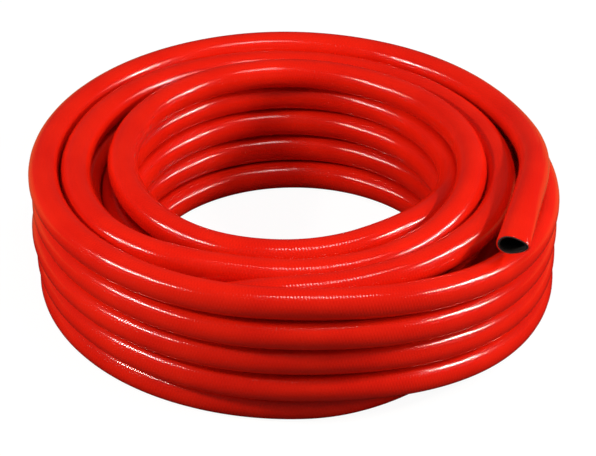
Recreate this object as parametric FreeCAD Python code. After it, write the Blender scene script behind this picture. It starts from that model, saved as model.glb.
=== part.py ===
import FreeCAD, Part
import math
import os

# A bare length of air hose, wound into a loose coil that stands on the ground.
# Millimetres, +Z up. The coil's axis is the Z axis and the ground is Z = 0.

V = FreeCAD.Vector

# The hose
HOSE_OD = 25.0             # outside diameter of the hose
COVER_WALL = 1.1           # red cover outside the reinforcement
BRAID_WALL = 0.5           # grey reinforcement between lining and cover
LINING_WALL = 1.4          # black rubber lining around the bore
HOSE_BORE = HOSE_OD - 2 * (COVER_WALL + BRAID_WALL + LINING_WALL)   # 19 mm, three quarters of an inch
WINDING_SIDES = 6          # flats on the wound length of the cover
WINDING_GAP = 0.9          # how much smaller than the hose the flats' corners lie
INTO_STUB = 1.0            # how far from the inner cut the wound length ends

# The two cut ends
MODELLED_LENGTH = 30.0     # how far in from each cut the layers and bore are modelled
ROUND_LENGTH = 34.0        # length at each cut where the cover is truly round

# How the coil stands
FLAT_DEPTH = HOSE_OD / 10  # how far the lowest turns are pressed flat by the ground
AXLE_HEIGHT = HOSE_OD / 2 - FLAT_DEPTH

# The loops in the order the hose runs through them, all lengths in hose diameters:
# name, half width, half depth, centre right, centre back, height above the lowest loop,
# bearing where the hose leaves the loop, how wide the change-over is, how freely it eases.
# Bearings are in degrees, 0 to the right, 90 to the back, 270 to the front.
LOOPS = [
    ("outer top", 7.92, 8.00, -0.10, 0.00, 4.08, 310, 75, 0.2),
    ("outer fourth", 8.22, 8.30, 0.20, 0.10, 3.00, 314, 75, 0.3),
    ("outer third", 8.22, 8.22, 0.15, 0.12, 2.00, 314, 75, 0.3),
    ("outer second", 8.18, 8.07, 0.22, 0.09, 1.00, 314, 72, 0.3),
    ("outer bottom", 8.18, 8.00, 0.23, 0.17, 0.00, 305, 60, 0.3),
    ("middle bottom", 6.90, 6.85, 0.35, 0.25, 0.00, 290, 80, 1.0),
    ("middle second", 6.85, 6.90, 0.20, 0.30, 0.98, 285, 80, 1.0),
    ("middle third", 6.90, 6.95, 0.15, 0.35, 1.88, 110, 70, 1.0),
    ("middle fourth", 6.52, 6.75, 0.10, 0.30, 3.15, 246, 60, 0.5),
    ("middle top, front", 7.00, 7.10, -0.05, -0.05, 4.03, 325, 60, 0.3),
    ("middle top, right", 6.92, 7.03, -0.05, -0.02, 3.55, 90, 80, 0.3),
    ("middle top, left", 7.08, 7.12, -0.02, -0.05, 4.15, 222, 74, 0.3),
    ("second from inside", 6.18, 6.18, 0.05, 0.00, 3.60, 335, 60, 0.3),
    ("second, right", 6.10, 6.15, 0.05, 0.05, 3.95, 65, 90, 0.3),
    ("inner top", 5.45, 5.70, -0.05, 0.52, 3.78, 345, 90, 0.2),
    ("inner fourth", 5.72, 6.00, -0.05, 0.40, 2.87, 345, 85, 0.2),
    ("inner third", 5.48, 5.72, 0.00, 0.57, 1.95, 345, 85, 0.2),
    ("inner second", 5.60, 5.86, 0.05, 0.38, 0.99, 345, 85, 0.2),
    ("inner bottom", 5.48, 5.50, 0.20, 0.46, 0.00, None, None, 0.2),
]
STEP = 5                   # degrees between two points of the hose's line
START = -38                # bearing of the cut end that lies on top
STRAIGHT_UNTIL = -13       # bearing where that end's straight stretch begins to bend
LAST_BEARING = 292         # bearing of the cut end at the bottom of the hole
STRAIGHT_LAST = 15         # degrees of the line that are straight before that end
LIFT_OVER = 40             # degrees of the line over which an end rises to its place
INNER_LIFT = 0.104         # rise of the inner end, so that it is round above the ground
TOP_LIFT = 0.25            # rise of the end on top, so that a clamp goes round it, in diameters
NODE_STEPS = 6             # points between two ends of arcs, 30 degrees
LEAST_STAY = 60            # least degrees between two change-overs

# Easing the loops apart
CLEAR = 1.024              # least distance of two turns' centres, in hose diameters
ROUNDS = 400
PUSH = 0.4                 # share of the missing distance that one round gives back
CLOSEST = 0.05             # distance below which two centres count as this far apart
SMOOTHING = 0.12           # how strongly one round evens out the moves along the hose
EASE_OVER = 35             # degrees to either side over which the easing is softened

# The measure of the least gap
WALK_STEP = 5.0            # distance between two measured points
WALK_SKIP = 30             # neighbours along the hose that are not measured


def leaving_angles():
    """Total angle at which the hose leaves each loop for the next one."""
    found = []
    total = START
    for loop in LOOPS[:-1]:
        bearing = loop[6]
        total = bearing + 360 * math.ceil((total + LEAST_STAY - bearing) / 360)
        found.append(total)
    return found


def blend(share):
    """Soft step from nought to one."""
    share = min(max(share, 0.0), 1.0)
    return share * share * (3 - 2 * share)


def planned_line():
    """Total angles, distances from the axis and heights, before the easing."""
    leave = leaving_angles()
    last = leave[-1] + (LAST_BEARING - leave[-1]) % 360
    angles = [START + STEP * i for i in range((last - START) // STEP + 1)]
    reaches = []
    heights = []
    for angle in angles:
        now = list(LOOPS[0][1:6])
        for k, middle in enumerate(leave):
            share = blend((angle - middle) / LOOPS[k][7] + 0.5)
            for m in range(5):
                now[m] += share * (LOOPS[k + 1][m + 1] - LOOPS[k][m + 1])
        a, b, x0, y0, height = now
        c = math.cos(math.radians(angle))
        s = math.sin(math.radians(angle))
        square = (c / a) ** 2 + (s / b) ** 2
        cross = c * x0 / a ** 2 + s * y0 / b ** 2
        rest = (x0 / a) ** 2 + (y0 / b) ** 2 - 1
        reach = (cross + math.sqrt(cross * cross - square * rest)) / square
        before = min(angle - STRAIGHT_UNTIL, 0)
        after = max(angle - (angles[-1] - STRAIGHT_LAST), 0)
        reaches.append(reach / math.cos(math.radians(before)) / math.cos(math.radians(after)))
        top = blend((STRAIGHT_UNTIL - angle) / LIFT_OVER + 1)
        inner = blend((angle - angles[-1] + STRAIGHT_LAST) / LIFT_OVER + 1)
        heights.append(height + TOP_LIFT * top + INNER_LIFT * inner)
    return angles, reaches, heights


def ease_of(angle, leave):
    """How freely the hose eases here."""
    total = 0.0
    for back in range(-EASE_OVER, EASE_OVER + 1, STEP):
        which = sum(1 for middle in leave if angle + back > middle)
        total += LOOPS[which][8]
    return total


def soften(moves):
    """One step of smoothing along the hose."""
    wide = [moves[0]] + moves + [moves[-1]]
    return [moves[i] + SMOOTHING * (wide[i] - 2 * moves[i] + wide[i + 2])
            for i in range(len(moves))]


def eased_line():
    """The planned line with its turns eased apart where two would touch."""
    angles, reaches, heights = planned_line()
    leave = leaving_angles()
    ease = [ease_of(angle, leave) for angle in angles]
    per_turn = 360 // STEP
    count = len(angles)
    lowest = [min(height, 0.0) for height in heights]
    lowest[-per_turn // 4:] = heights[-per_turn // 4:]
    outward = [0.0] * count
    upward = [0.0] * count
    for _ in range(ROUNDS):
        r = [reaches[i] + outward[i] for i in range(count)]
        z = [heights[i] + upward[i] for i in range(count)]
        for gap in range(per_turn, count, per_turn):
            for i in range(count - gap):
                j = i + gap
                out = r[j] - r[i]
                up = z[j] - z[i]
                if abs(out) >= CLEAR or abs(up) >= CLEAR:
                    continue
                apart = math.hypot(out, up)
                if apart >= CLEAR:
                    continue
                push = PUSH * (CLEAR - apart) / max(apart, CLOSEST)
                first = push * ease[i] / (ease[i] + ease[j])
                second = push - first
                outward[i] -= first * out
                outward[j] += second * out
                upward[i] -= first * up
                upward[j] += second * up
        outward = soften(outward)
        upward = soften(upward)
        upward = [max(upward[i], lowest[i] - heights[i]) for i in range(count)]
    reaches = [reaches[i] + outward[i] for i in range(count)]
    heights = [heights[i] + upward[i] for i in range(count)]
    return angles, reaches, heights


def line_points():
    """The eased line as points in millimetres, with the middle of its box over the origin."""
    found = []
    for angle, reach, height in zip(*eased_line()):
        turn = math.radians(angle)
        found.append(V(HOSE_OD * reach * math.cos(turn), HOSE_OD * reach * math.sin(turn),
                       HOSE_OD * height + AXLE_HEIGHT))
    right = (max(p.x for p in found) + min(p.x for p in found)) / 2
    back = (max(p.y for p in found) + min(p.y for p in found)) / 2
    print("loops' own centre stands at %.3f, %.3f" % (-right, -back))
    return [p - V(right, back, 0) for p in found]


def unit(vector):
    """The same direction, one long."""
    result = V(vector)
    result.normalize()
    return result


def arc(start, heading, end):
    """The arc that leaves start along heading and reaches end."""
    chord = end - start
    aside = chord - heading * chord.dot(heading)
    if aside.Length < 1e-6 * chord.Length:
        return Part.LineSegment(start, end).toShape()
    radius = chord.dot(chord) / (2 * aside.Length)
    centre = start + unit(aside) * radius
    middle = centre + unit((start + end) * 0.5 - centre) * radius
    return Part.Arc(start, middle, end).toShape()


def two_arcs(start, heading, end, arriving):
    """Two arcs that leave start along heading and reach end along arriving."""
    chord = end - start
    both = heading + arriving
    a = 2 * (1 - heading.dot(arriving))
    b = 2 * chord.dot(both)
    c = -chord.dot(chord)
    if a > 1e-12:
        reach = (-b + math.sqrt(b * b - 4 * a * c)) / (2 * a)
    else:
        reach = -c / b
    near = start + heading * reach
    far = end - arriving * reach
    join = (near + far) * 0.5
    return [arc(start, heading, join), arc(join, unit(far - near), end)]


def ring(start, along, length, outer, inner):
    """A straight tube."""
    tube = Part.makeCylinder(outer / 2, length, start, along)
    return tube.cut(Part.makeCylinder(inner / 2, length, start, along))


def write(shape, node):
    """Write one piece to its own file."""
    shape.exportStep("parts/" + node + ".step")
    box = shape.BoundBox
    print(node, shape.ShapeType, "valid", shape.isValid(), "volume %.0f" % shape.Volume,
          "x %.1f..%.1f y %.1f..%.1f z %.1f..%.1f"
          % (box.XMin, box.XMax, box.YMin, box.YMax, box.ZMin, box.ZMax))


os.makedirs("parts", exist_ok=True)
points = line_points()
first_bend = (STRAIGHT_UNTIL - START) // STEP
last_bend = len(points) - 1 - STRAIGHT_LAST // STEP

# Where the arcs begin and end, and the way the hose runs there
nodes = list(range(first_bend, last_bend - NODE_STEPS // 2, NODE_STEPS)) + [last_bend]
headings = {i: unit(points[i + 1] - points[i - 1]) for i in nodes}
headings[first_bend] = unit(points[first_bend] - points[0])
headings[last_bend] = unit(points[-1] - points[last_bend])
start = points[0]
into = headings[first_bend]
end = points[-1]
out_of = headings[last_bend]

# The wound length of the cover, one unbroken tube with flats
edges = [Part.LineSegment(start + into * ROUND_LENGTH, points[first_bend]).toShape()]
for i, j in zip(nodes[:-1], nodes[1:]):
    edges += two_arcs(points[i], headings[i], points[j], headings[j])
edges.append(Part.LineSegment(points[last_bend], end - out_of * INTO_STUB).toShape())
spine = Part.Wire(edges)
corner = (HOSE_OD - WINDING_GAP) / 2
side = unit(into.cross(V(0, 0, 1)))
rise = side.cross(into)
outline = []
for k in range(WINDING_SIDES):
    turn = 2 * math.pi * (k + 0.5) / WINDING_SIDES
    outline.append(start + into * ROUND_LENGTH + side * (corner * math.cos(turn))
                   + rise * (corner * math.sin(turn)))
outline.append(outline[0])
winding = spine.makePipeShell([Part.makePolygon(outline)], True, False)
area = WINDING_SIDES / 2 * corner ** 2 * math.sin(2 * math.pi / WINDING_SIDES)
print("winding valid", winding.isValid(),
      "volume over section times length %.4f" % (winding.Volume / (area * spine.Length)))
print("hose length %.0f mm, %.2f turns" % (spine.Length + ROUND_LENGTH,
                                           (len(points) - 1) * STEP / 360))

# The round ends of the cover, with a seat for the two inner layers
braid_od = HOSE_BORE + 2 * (LINING_WALL + BRAID_WALL)
lining_od = HOSE_BORE + 2 * LINING_WALL
cut_ends = [(start, into), (end, out_of * -1)]
cover = winding
for place, along in cut_ends:
    stub = Part.makeCylinder(HOSE_OD / 2, ROUND_LENGTH, place, along)
    seat = Part.makeCylinder(braid_od / 2, MODELLED_LENGTH, place, along)
    cover = cover.fuse(stub).cut(seat)

# The lowest turns are pressed flat where they lie on the ground
span = 4 * (max(p.x for p in points) + HOSE_OD)
ground = Part.makeBox(span, span, HOSE_OD, V(-span / 2, -span / 2, -HOSE_OD))
cover = cover.cut(ground).Solids[0]
write(cover, "hose_cover")

braids = [ring(place, along, MODELLED_LENGTH, braid_od, lining_od) for place, along in cut_ends]
linings = [ring(place, along, MODELLED_LENGTH, lining_od, HOSE_BORE) for place, along in cut_ends]
write(Part.makeCompound(braids), "hose_reinforcement")
write(Part.makeCompound(linings), "hose_lining")
for place, along in cut_ends:
    print("cut end at", [round(v, 3) for v in place], "runs in", [round(v, 5) for v in along])

# Least gap of the coil to itself
walk = spine.discretize(Distance=WALK_STEP)
least = span
for i, p in enumerate(walk):
    for q in walk[i + WALK_SKIP:]:
        if abs(p.z - q.z) < least and abs(p.x - q.x) < least and abs(p.y - q.y) < least:
            least = min(least, p.distanceToPoint(q))
print("least gap between turns %.2f mm" % (least - 2 * corner))
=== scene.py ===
import math

import bpy
import numpy as np
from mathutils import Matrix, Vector


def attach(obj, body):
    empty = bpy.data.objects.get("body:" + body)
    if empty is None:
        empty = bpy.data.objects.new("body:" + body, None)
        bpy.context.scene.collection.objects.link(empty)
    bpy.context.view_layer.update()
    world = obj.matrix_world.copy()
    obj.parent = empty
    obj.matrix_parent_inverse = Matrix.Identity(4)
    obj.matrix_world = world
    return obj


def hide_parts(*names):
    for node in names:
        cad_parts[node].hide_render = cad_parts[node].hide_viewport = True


# A bare length of red air hose, wound into a loose coil. Metres, +Z up, ground at Z = 0.

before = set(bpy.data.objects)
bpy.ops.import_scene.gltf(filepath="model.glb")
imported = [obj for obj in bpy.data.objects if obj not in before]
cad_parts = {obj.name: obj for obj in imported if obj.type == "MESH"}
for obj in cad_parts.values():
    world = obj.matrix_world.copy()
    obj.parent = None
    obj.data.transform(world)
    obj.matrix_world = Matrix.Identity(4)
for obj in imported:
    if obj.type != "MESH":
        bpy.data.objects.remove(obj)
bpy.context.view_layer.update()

# The hose, as in part.py
HOSE_OD = 0.025            # outside diameter
HOSE_BORE = 0.019          # inside diameter
LINING_OD = 0.0218         # over the black lining
BRAID_OD = 0.0228          # over the grey reinforcement
SEAT_DEPTH = 0.030         # how far in from each cut the layers and the bore are modelled
FLAT_DEPTH = HOSE_OD / 10  # how far the lowest turns are pressed flat by the ground
AXLE_HEIGHT = HOSE_OD / 2 - FLAT_DEPTH
COIL_CENTRE = (-0.004469, -0.002404)   # where the loops' own centre stands in the frame

# The loops, in hose diameters: half width, half depth, centre right, centre back, height,
# bearing where the hose leaves the loop, how wide the change-over is, how freely it eases
LOOPS = [
    (7.97, 7.95, 0.10, -0.02, 3.98, 303, 75, 0.2),
    (8.20, 8.30, 0.27, 0.10, 2.98, 306, 75, 0.3),
    (8.20, 8.22, 0.24, 0.12, 1.96, 306, 75, 0.3),
    (8.16, 8.07, 0.28, 0.09, 0.98, 308, 72, 0.3),
    (8.14, 8.00, 0.28, 0.17, 0.00, 305, 60, 0.3),
    (6.90, 6.85, 0.35, 0.25, 0.00, 290, 80, 1.0),
    (6.85, 6.90, 0.20, 0.30, 0.98, 285, 80, 1.0),
    (6.90, 6.95, 0.15, 0.35, 1.88, 110, 70, 1.0),
    (6.50, 6.75, 0.05, 0.30, 3.30, 214, 44, 0.5),
    (6.50, 6.60, 0.00, 0.00, 2.75, 251, 40, 0.5),
    (6.95, 7.10, -0.10, -0.05, 3.98, 325, 60, 0.3),
    (6.87, 7.03, -0.10, -0.02, 3.80, 90, 80, 0.3),
    (7.00, 7.10, 0.00, -0.08, 3.86, 236, 52, 0.3),
    (6.12, 6.10, 0.05, 0.00, 3.62, 335, 60, 0.3),
    (6.10, 6.15, 0.05, 0.05, 3.95, 65, 90, 0.3),
    (5.45, 5.75, -0.05, 0.52, 3.98, 205, 80, 0.2),
    (5.45, 5.70, -0.05, 0.48, 3.74, 345, 90, 0.2),
    (5.72, 6.00, -0.05, 0.40, 2.87, 345, 85, 0.2),
    (5.48, 5.72, 0.00, 0.57, 1.95, 345, 85, 0.2),
    (5.60, 5.86, 0.05, 0.38, 0.99, 345, 85, 0.2),
    (5.48, 5.50, 0.20, 0.46, 0.00, 0, 0, 0.2),
]
STEP = 5                   # degrees between two points of the hose's line
START = -38                # bearing of the cut end that lies on top
STRAIGHT_UNTIL = -13.2     # bearing where that end's straight stretch begins to bend
LAST_BEARING = 292         # bearing of the cut end at the bottom of the hole
STRAIGHT_LAST = 15         # degrees of the line that are straight before that end
LIFT_OVER = 40             # degrees of the line over which an end rises to its place
INNER_LIFT = 0.104         # rise of the inner end, in diameters
TOP_LIFT = 0.44            # rise of the end on top, in diameters
LEAST_STAY = 20            # least degrees between two change-overs
CLEAR = 1.024              # least distance of two turns' centres, in hose diameters
ROUNDS = 400               # rounds of easing the turns apart
PUSH = 0.4                 # share of the missing distance that one round gives back
CLOSEST = 0.05             # distance below which two centres count as this far apart
SMOOTHING = 0.12           # how strongly one round evens out the moves along the hose
EASE_OVER = 35             # degrees to either side over which the easing is softened

# The mesh of the hose
SIDES = 30                 # faces round the hose
SPANS = 3                  # rings for each point of the route


def blend(share):
    """Soft step from nought to one."""
    share = np.clip(share, 0, 1)
    return share * share * (3 - 2 * share)


def route_points():
    """The points of the hose's line, turn after turn, eased apart as in part.py."""
    loops = np.array(LOOPS)
    leave = []
    total = START
    for loop in loops[:-1]:
        total = loop[5] + 360 * math.ceil((total + LEAST_STAY - loop[5]) / 360)
        leave.append(total)
    leave = np.array(leave)
    last = leave[-1] + (LAST_BEARING - leave[-1]) % 360
    angles = np.arange(START, last + 1, STEP)
    share = blend((angles[:, None] - leave) / loops[:-1, 6] + 0.5)
    now = loops[0, :5] + share @ np.diff(loops[:, :5], axis=0)
    a, b, x0, y0, heights = now.T
    c = np.cos(np.radians(angles))
    s = np.sin(np.radians(angles))
    square = (c / a) ** 2 + (s / b) ** 2
    cross = c * x0 / a ** 2 + s * y0 / b ** 2
    rest = (x0 / a) ** 2 + (y0 / b) ** 2 - 1
    reaches = (cross + np.sqrt(cross * cross - square * rest)) / square
    before = np.minimum(angles - STRAIGHT_UNTIL, 0)
    after = np.maximum(angles - (angles[-1] - STRAIGHT_LAST), 0)
    reaches = reaches / np.cos(np.radians(before)) / np.cos(np.radians(after))
    heights = heights + TOP_LIFT * blend((STRAIGHT_UNTIL - angles) / LIFT_OVER + 1)
    heights = heights + INNER_LIFT * blend((angles - angles[-1] + STRAIGHT_LAST) / LIFT_OVER + 1)

    around = angles[:, None] + np.arange(-EASE_OVER, EASE_OVER + 1, STEP)
    ease = loops[(around[:, :, None] > leave).sum(axis=2), 7].sum(axis=1)
    count = len(angles)
    turn = 360 // STEP
    lowest = np.minimum(heights, 0)
    lowest[-turn // 4:] = heights[-turn // 4:]
    outward = np.zeros(count)
    upward = np.zeros(count)
    for _ in range(ROUNDS):
        r = reaches + outward
        z = heights + upward
        for gap in range(turn, count, turn):
            out = r[gap:] - r[:-gap]
            up = z[gap:] - z[:-gap]
            apart = np.hypot(out, up)
            push = np.where(apart < CLEAR, PUSH * (CLEAR - apart) / np.maximum(apart, CLOSEST), 0)
            first = push * ease[:-gap] / (ease[:-gap] + ease[gap:])
            second = push - first
            outward[:-gap] -= first * out
            outward[gap:] += second * out
            upward[:-gap] -= first * up
            upward[gap:] += second * up
        for moves in (outward, upward):
            wide = np.concatenate([moves[:1], moves, moves[-1:]])
            moves += SMOOTHING * (wide[:-2] - 2 * moves + wide[2:])
        upward = np.maximum(upward, lowest - heights)
    reaches = reaches + outward
    heights = heights + upward
    return np.stack([HOSE_OD * reaches * c + COIL_CENTRE[0],
                     HOSE_OD * reaches * s + COIL_CENTRE[1],
                     HOSE_OD * heights + AXLE_HEIGHT], axis=1)


def spline_line(points, name):
    """Points along the smooth NURBS line that the route's points steer."""
    curve = bpy.data.curves.new(name, "CURVE")
    curve.dimensions = "3D"
    spline = curve.splines.new("NURBS")
    spline.points.add(len(points) - 1)
    for k, place in enumerate(points):
        spline.points[k].co = (*place, 1.0)
    spline.order_u = 3
    spline.use_endpoint_u = True
    spline.resolution_u = SPANS
    curve.resolution_u = SPANS
    holder = bpy.data.objects.new(name, curve)
    bpy.context.scene.collection.objects.link(holder)
    bpy.context.view_layer.update()
    mesh = bpy.data.meshes.new_from_object(holder)
    line = np.array([v.co for v in mesh.vertices])
    bpy.data.objects.remove(holder)
    bpy.data.meshes.remove(mesh)
    return line


def frames_along(line):
    """For each point: the way along, the level way to the side, and the way up across both."""
    along = np.gradient(line, axis=0)
    along /= np.linalg.norm(along, axis=1)[:, None]
    side = np.cross(along, (0, 0, 1))
    side /= np.linalg.norm(side, axis=1)[:, None]
    return along, side, np.cross(side, along)


route = route_points()
line = spline_line(route, "hose_route")
along, side, rise = frames_along(line)
travel = np.concatenate([[0], np.cumsum(np.linalg.norm(np.diff(line, axis=0), axis=1))])
hose_length = travel[-1]
print("hose %.3f m, %d points, %.3f m at the route" % (hose_length, len(line), len(route)))

# The mouth of the end on top: the hose is squeezed flatter here, most on its right
MOUTH_LENGTH = 0.075
MOUTH_WIDE = 1.06
MOUTH_LOW_LEFT = 0.80
MOUTH_LOW_RIGHT = 0.52
PAST_MOUTH = 1.0           # a distance from the mouth at which the hose is round


def section(distance, radius, turn):
    """Sideways and upward place of the wall at this distance from the cut end on top."""
    share = 1 - blend(np.asarray(distance) / MOUTH_LENGTH)
    across = np.cos(turn)
    wide = 1 + share * (MOUTH_WIDE - 1)
    squeeze = MOUTH_LOW_LEFT + (MOUTH_LOW_RIGHT - MOUTH_LOW_LEFT) * blend((across + 1) / 2)
    low = 1 + share * (squeeze - 1)
    return radius * wide * across, radius * low * np.sin(turn)


def ring(place, to_side, to_rise, distance, radius, ground=True):
    """One ring of points round the line."""
    turn = 2 * np.pi * np.arange(SIDES) / SIDES - np.pi / 2
    out, up = section(distance, radius, turn)
    found = place + np.outer(out, to_side) + np.outer(up, to_rise)
    if ground:
        found[:, 2] = np.maximum(found[:, 2], 0)
    return found


def tube_mesh(name, rings, reach, closed_end=False):
    """A skin through rings of points, with a UV map in metres along and round the hose."""
    count = len(rings)
    vertices = np.concatenate(rings)
    faces = []
    spots = []
    for i in range(count - 1):
        for k in range(SIDES):
            k2 = (k + 1) % SIDES
            faces.append((i * SIDES + k, i * SIDES + k2, (i + 1) * SIDES + k2, (i + 1) * SIDES + k))
            spots += [(reach[i], k), (reach[i], k + 1), (reach[i + 1], k + 1), (reach[i + 1], k)]
    if closed_end:
        faces.append(tuple((count - 1) * SIDES + k for k in range(SIDES)))
        spots += [(reach[-1], k) for k in range(SIDES)]
    mesh = bpy.data.meshes.new(name)
    mesh.from_pydata(vertices.tolist(), [], faces)
    uv = mesh.uv_layers.new(name="hose")
    around = math.pi * HOSE_OD / SIDES
    uv.data.foreach_set("uv", np.array([(s, k * around) for s, k in spots]).ravel())
    mesh.polygons.foreach_set("use_smooth", [True] * len(mesh.polygons))
    mesh.update()
    piece = bpy.data.objects.new(name, mesh)
    bpy.context.scene.collection.objects.link(piece)
    return piece


# The cover: in through the first seat, over the cut, along the whole hose and into the last seat
CUT_EDGE = 0.0004          # rounding of the cut edge


def cut_rings(index, sign):
    """Rings of one cut end, from the bottom of its seat out to the hose's outside."""
    place = line[index]
    heading = along[index] * sign
    found = []
    where = []
    spots = [(BRAID_OD / 2, SEAT_DEPTH), (BRAID_OD / 2, SEAT_DEPTH / 2), (BRAID_OD / 2, CUT_EDGE),
             (BRAID_OD / 2 + CUT_EDGE / 2, 0.0), (HOSE_OD / 2 - CUT_EDGE, 0.0),
             (HOSE_OD / 2, CUT_EDGE)]
    for radius, depth in spots:
        distance = depth if index == 0 else PAST_MOUTH
        found.append(ring(place + heading * depth, side[index], rise[index], distance, radius))
        where.append(-depth - (HOSE_OD / 2 - radius))
    return found, where


start_rings, start_reach = cut_rings(0, 1)
end_rings, end_reach = cut_rings(-1, -1)
rings = list(start_rings)
reach = list(start_reach)
for i in range(1, len(line) - 1):
    rings.append(ring(line[i], side[i], rise[i], travel[i], HOSE_OD / 2))
    reach.append(travel[i])
rings += end_rings[::-1]
reach += [hose_length - r for r in end_reach[::-1]]
hose = tube_mesh("hose", rings, reach)


def layer(name, outer, inner, cap):
    """One inner layer of the hose, seen in both mouths."""
    pieces = []
    for index, sign in ((0, 1), (-1, -1)):
        heading = along[index] * sign
        spots = [(outer / 2, SEAT_DEPTH), (outer / 2, CUT_EDGE), (outer / 2 - CUT_EDGE / 4, 0.0),
                 (inner / 2 + CUT_EDGE / 4, 0.0), (inner / 2, CUT_EDGE), (inner / 2, SEAT_DEPTH)]
        found = []
        for radius, depth in spots:
            distance = depth if index == 0 else PAST_MOUTH
            found.append(ring(line[index] + heading * depth, side[index], rise[index],
                              distance, radius))
        pieces.append(tube_mesh(name, found, [-s[1] for s in spots], closed_end=cap))
    first, second = pieces
    with bpy.context.temp_override(active_object=first, selected_editable_objects=[first, second]):
        bpy.ops.object.join()
    return first


reinforcement = layer("reinforcement", BRAID_OD, LINING_OD, False)
lining = layer("lining", LINING_OD, HOSE_BORE, True)


# Materials
class Nodes:
    """Short calls to build one node material."""

    def __init__(self, name):
        self.material = bpy.data.materials.new(name)
        self.material.use_nodes = True
        self.tree = self.material.node_tree
        self.shader = self.tree.nodes["Principled BSDF"]
        self.output = self.tree.nodes["Material Output"]

    def add(self, kind, links=None, **values):
        node = self.tree.nodes.new(kind)
        for key, value in values.items():
            setattr(node, key, value)
        for key, value in (links or {}).items():
            if isinstance(value, bpy.types.NodeSocket):
                self.tree.links.new(value, node.inputs[key])
            else:
                node.inputs[key].default_value = value
        return node

    def maths(self, kind, first, second=0.0):
        return self.add("ShaderNodeMath", {0: first, 1: second}, operation=kind).outputs[0]

    def mixed(self, share, first, second):
        node = self.add("ShaderNodeMix", data_type="RGBA")
        for key, value in (("Factor", share), ("A", first), ("B", second)):
            socket = next(s for s in node.inputs
                          if s.name == key and s.type == ("VALUE" if key == "Factor" else "RGBA"))
            if isinstance(value, bpy.types.NodeSocket):
                self.tree.links.new(value, socket)
            else:
                socket.default_value = value
        return next(s for s in node.outputs if s.type == "RGBA")


RIB_PITCH = 0.00245        # from thread to thread of the fabric impression, along the hose
TURNS_ROUND = 11           # threads that its slant crosses, once round the hose


def cover_material():
    """Glossy red rubber with a fine diamond fabric impression."""
    n = Nodes("red_cover")
    place = n.add("ShaderNodeUVMap", uv_map="hose").outputs[0]
    parts = n.add("ShaderNodeSeparateXYZ", {0: place}).outputs
    u = n.maths("MULTIPLY", parts[0], 1 / RIB_PITCH)
    v = n.maths("MULTIPLY", parts[1], TURNS_ROUND / (math.pi * HOSE_OD))
    waves = []
    for both in (n.maths("ADD", u, v), n.maths("SUBTRACT", u, v)):
        waves.append(n.maths("COSINE", n.maths("MULTIPLY", both, 2 * math.pi)))
    diamonds = n.maths("MULTIPLY", n.maths("ADD", waves[0], waves[1]), 0.25)
    where = n.add("ShaderNodeTexCoord").outputs["Object"]
    slow = n.add("ShaderNodeTexNoise", {"Vector": where, "Scale": 22.0, "Detail": 2.0}).outputs[0]
    fine = n.add("ShaderNodeTexNoise", {"Vector": where, "Scale": 420.0, "Detail": 3.0}).outputs[0]
    shade = n.add("ShaderNodeMapRange", {0: slow, 1: 0.3, 2: 0.7, 3: 0.0, 4: 1.0}).outputs[0]
    colour = n.mixed(shade, (0.64, 0.007, 0.002, 1), (0.74, 0.012, 0.003, 1))
    worn = n.add("ShaderNodeMapRange", {0: diamonds, 1: -0.5, 2: 0.5, 3: 0.0, 4: 0.35}).outputs[0]
    colour = n.mixed(worn, colour, (0.84, 0.018, 0.006, 1))
    n.tree.links.new(colour, n.shader.inputs["Base Color"])
    rough = n.add("ShaderNodeMapRange", {0: fine, 1: 0.3, 2: 0.7, 3: 0.11, 4: 0.15}).outputs[0]
    n.tree.links.new(rough, n.shader.inputs["Roughness"])
    height = n.maths("ADD", diamonds, n.maths("MULTIPLY", fine, 0.08))
    bump = n.add("ShaderNodeBump", {"Strength": 0.7, "Distance": 0.00016, "Height": height})
    soft = n.add("ShaderNodeTexNoise", {"Vector": where, "Scale": 60.0, "Detail": 1.0}).outputs[0]
    dents = n.add("ShaderNodeBump", {"Strength": 0.1, "Distance": 0.0003, "Height": soft,
                                     "Normal": bump.outputs[0]})
    n.tree.links.new(dents.outputs[0], n.shader.inputs["Normal"])
    n.shader.inputs["Specular IOR Level"].default_value = 0.5
    return n.material


def reinforcement_material():
    """Grey yarn, cut across."""
    n = Nodes("grey_yarn")
    where = n.add("ShaderNodeTexCoord").outputs["Object"]
    yarn = n.add("ShaderNodeTexVoronoi", {"Vector": where, "Scale": 1400.0}).outputs[0]
    share = n.add("ShaderNodeMapRange", {0: yarn, 1: 0.0, 2: 0.7, 3: 0.0, 4: 1.0}).outputs[0]
    n.tree.links.new(n.mixed(share, (0.22, 0.17, 0.16, 1), (0.08, 0.05, 0.045, 1)),
                     n.shader.inputs["Base Color"])
    bump = n.add("ShaderNodeBump", {"Strength": 0.6, "Distance": 0.0003, "Height": yarn})
    n.tree.links.new(bump.outputs[0], n.shader.inputs["Normal"])
    n.shader.inputs["Roughness"].default_value = 0.8
    return n.material


def lining_material():
    """Dull black rubber."""
    n = Nodes("black_lining")
    where = n.add("ShaderNodeTexCoord").outputs["Object"]
    grain = n.add("ShaderNodeTexNoise", {"Vector": where, "Scale": 700.0, "Detail": 4.0}).outputs[0]
    share = n.add("ShaderNodeMapRange", {0: grain, 1: 0.35, 2: 0.65, 3: 0.0, 4: 1.0}).outputs[0]
    n.tree.links.new(n.mixed(share, (0.006, 0.005, 0.005, 1), (0.016, 0.013, 0.012, 1)),
                     n.shader.inputs["Base Color"])
    bump = n.add("ShaderNodeBump", {"Strength": 0.3, "Distance": 0.0002, "Height": grain})
    n.tree.links.new(bump.outputs[0], n.shader.inputs["Normal"])
    n.shader.inputs["Roughness"].default_value = 0.6
    return n.material


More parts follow.
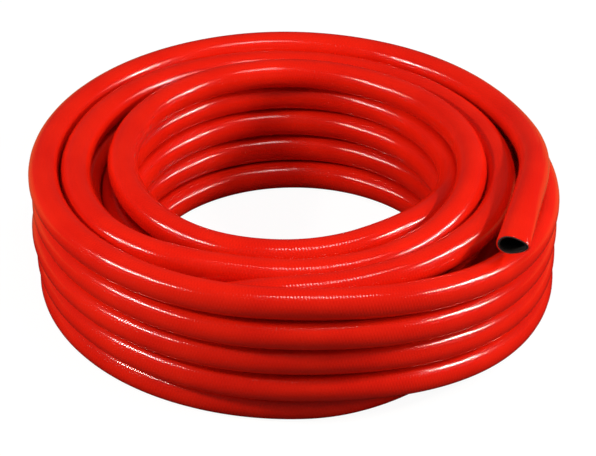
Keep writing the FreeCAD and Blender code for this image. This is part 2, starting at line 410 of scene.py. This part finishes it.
for piece, node, slot, material in (
        (hose, "hose_cover", "cover", cover_material()),
        (reinforcement, "hose_reinforcement", "reinforcement", reinforcement_material()),
        (lining, "hose_lining", "lining", lining_material())):
    piece.data.materials.clear()
    piece.data.materials.append(material)
    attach(piece, "root")
    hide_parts(node)

# The camera, as the photograph was taken
ELEVATION = 33.0
DISTANCE = 2.025
AIM = Vector((0.004281, -0.002404, 0.0480))
tilt = math.radians(ELEVATION)
camera_data = bpy.data.cameras.new("camera")
camera_data.sensor_width = 36.0
camera_data.lens = 146.29
camera = bpy.data.objects.new("camera", camera_data)
camera.location = AIM + Vector((0, -math.cos(tilt), math.sin(tilt))) * DISTANCE
camera.rotation_euler = (math.pi / 2 - tilt, 0, 0)
bpy.context.scene.collection.objects.link(camera)
bpy.context.scene.camera = camera


def direction(azimuth, elevation):
    """The way towards this bearing and elevation, in degrees."""
    a = math.radians(azimuth)
    e = math.radians(elevation)
    return Vector((math.cos(a) * math.cos(e), math.sin(a) * math.cos(e), math.sin(e)))


LAMP_TINT = (1.0, 0.95, 0.88)   # slightly warm studio light


def lamp(name, azimuth, elevation, distance, width, height, power, mirrored=True):
    """A soft box that looks at the coil, mirrored in its gloss or not."""
    data = bpy.data.lights.new(name, "AREA")
    data.shape = "RECTANGLE"
    data.size = width
    data.size_y = height
    data.energy = power
    data.color = LAMP_TINT
    item = bpy.data.objects.new(name, data)
    way = direction(azimuth, elevation)
    item.location = Vector((0, 0, 0.06)) + way * distance
    item.rotation_euler = way.to_track_quat("Z", "Y").to_euler()
    item.visible_glossy = mirrored
    bpy.context.scene.collection.objects.link(item)


lamp("left_box", 199, 36, 1.7, 0.34, 0.10, 13)
lamp("right_box", 356, 31, 1.7, 0.34, 0.11, 16)
lamp("left_fill", 194, 16, 2.4, 0.8, 0.6, 17, mirrored=False)
lamp("right_fill", 346, 20, 2.4, 0.8, 0.6, 22, mirrored=False)
lamp("top_box", 306, 71, 1.7, 0.46, 0.18, 5)
lamp("top_fill", 265, 60, 2.4, 0.9, 0.9, 12, mirrored=False)

# The floor and the world: white to the camera, with the coil's soft shadow. In the gloss the
# floor is dark, so that no white film lies on the red, but beside and behind the coil it glows
# orange there: a painted warm reflection along the coil's left and right rims.
FLOOR_REACH = 6.0
FLOOR_GLOW = 0.88          # share of the floor that glows, the rest shows the shadow
GLOW_STRENGTH = 1.06
floor_mesh = bpy.data.meshes.new("floor")
floor_mesh.from_pydata([(-FLOOR_REACH, -FLOOR_REACH, 0), (FLOOR_REACH, -FLOOR_REACH, 0),
                        (FLOOR_REACH, FLOOR_REACH, 0), (-FLOOR_REACH, FLOOR_REACH, 0)],
                       [], [(0, 1, 2, 3)])
floor = bpy.data.objects.new("floor", floor_mesh)
bpy.context.scene.collection.objects.link(floor)
floor.location.z = -0.0002
n = Nodes("floor")
n.shader.inputs["Roughness"].default_value = 0.9
n.shader.inputs["Specular IOR Level"].default_value = 0.0
ray = n.add("ShaderNodeLightPath").outputs
place = n.add("ShaderNodeSeparateXYZ", {0: n.add("ShaderNodeTexCoord").outputs["Object"]}).outputs
# The patch behind the coil's sides where the floor glows orange in the gloss: it paints a warm
# reflection on the coil's rims
rim_reflection_area = n.add("ShaderNodeMapRange", {0: place[1], 1: 0.04, 2: 0.16, 3: 0.0, 4: 0.5}).outputs[0]
rim_reflection_sides = n.add("ShaderNodeMapRange", {0: n.maths("ABSOLUTE", place[0]), 1: 0.19, 2: 0.22,
                                      3: 0.0, 4: 1.0}).outputs[0]
rim_reflection_area = n.maths("MULTIPLY", rim_reflection_area, rim_reflection_sides)
seen = n.maths("MAXIMUM", ray["Is Camera Ray"], n.maths("MULTIPLY", ray["Is Glossy Ray"], rim_reflection_area))
share = n.maths("MULTIPLY", seen, FLOOR_GLOW)
shade = n.mixed(ray["Is Glossy Ray"], (0.24, 0.24, 0.24, 1), (0.02, 0.02, 0.02, 1))
shade = n.mixed(ray["Is Camera Ray"], shade, (0.85, 0.85, 0.85, 1))
n.tree.links.new(shade, n.shader.inputs["Base Color"])
# Orange to glossy rays, the painted rim reflection; white to the camera
white_and_rim_reflection_colour = n.mixed(ray["Is Camera Ray"], (1.0, 0.42, 0.14, 1), (1, 1, 1, 1))
glow = n.add("ShaderNodeEmission", {"Color": white_and_rim_reflection_colour, "Strength": GLOW_STRENGTH}).outputs[0]
mix = n.add("ShaderNodeMixShader", {0: share, 1: n.shader.outputs[0], 2: glow})
n.tree.links.new(mix.outputs[0], n.output.inputs["Surface"])
floor_mesh.materials.append(n.material)

world = bpy.data.worlds.new("studio")
bpy.context.scene.world = world
world.use_nodes = True
tree = world.node_tree
back = tree.nodes["Background"]
back.inputs["Color"].default_value = (1, 1, 1, 1)
back.inputs["Strength"].default_value = 0.05
white = tree.nodes.new("ShaderNodeBackground")
white.inputs["Strength"].default_value = 1.0
white.inputs["Color"].default_value = (1, 1, 1, 1)
path = tree.nodes.new("ShaderNodeLightPath")
join = tree.nodes.new("ShaderNodeMixShader")
tree.links.new(path.outputs["Is Camera Ray"], join.inputs[0])
tree.links.new(back.outputs[0], join.inputs[1])
tree.links.new(white.outputs[0], join.inputs[2])
tree.links.new(join.outputs[0], tree.nodes["World Output"].inputs["Surface"])

bpy.context.scene.view_settings.view_transform = "Standard"
